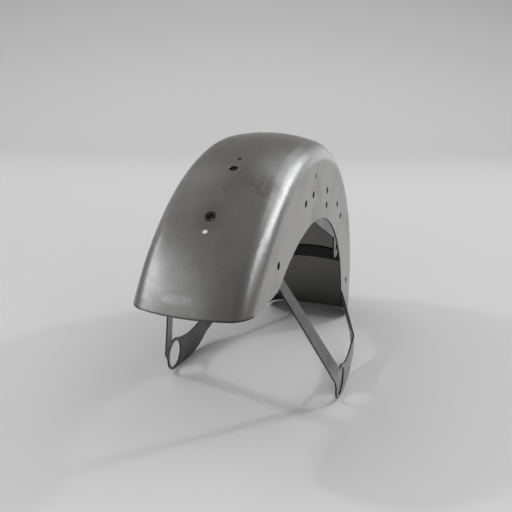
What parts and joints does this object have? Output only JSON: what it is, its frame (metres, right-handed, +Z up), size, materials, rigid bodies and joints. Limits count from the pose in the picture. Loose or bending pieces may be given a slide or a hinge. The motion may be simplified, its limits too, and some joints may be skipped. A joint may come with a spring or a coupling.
{
  "type": "motorcycle front fender",
  "caption": "Raw steel front fender for a motorcycle, with a deep rounded shell, folded stays with axle eyes, and fork brackets inside the skirts.",
  "frame": {"origin": "midway between the two axle eyes, on their common axis", "axes": "+X forward in the direction of travel, +Y towards the rider's left along the axle, +Z up as it stands on its stays and rear lip"},
  "size_m": [0.6678, 0.2812, 0.3982],
  "materials": {
    "raw_steel": "bare, smeared and lightly stained",
    "dark_steel": "dark mill scale"
  },
  "bodies": {
    "root": {"fender_shell": "raw_steel", "left_stay": "raw_steel", "right_stay": "raw_steel", "left_fork_bracket": "raw_steel", "right_fork_bracket": "raw_steel", "rear_brace": "dark_steel", "lamp_nut": "dark_steel"}
  },
  "joints": []
}
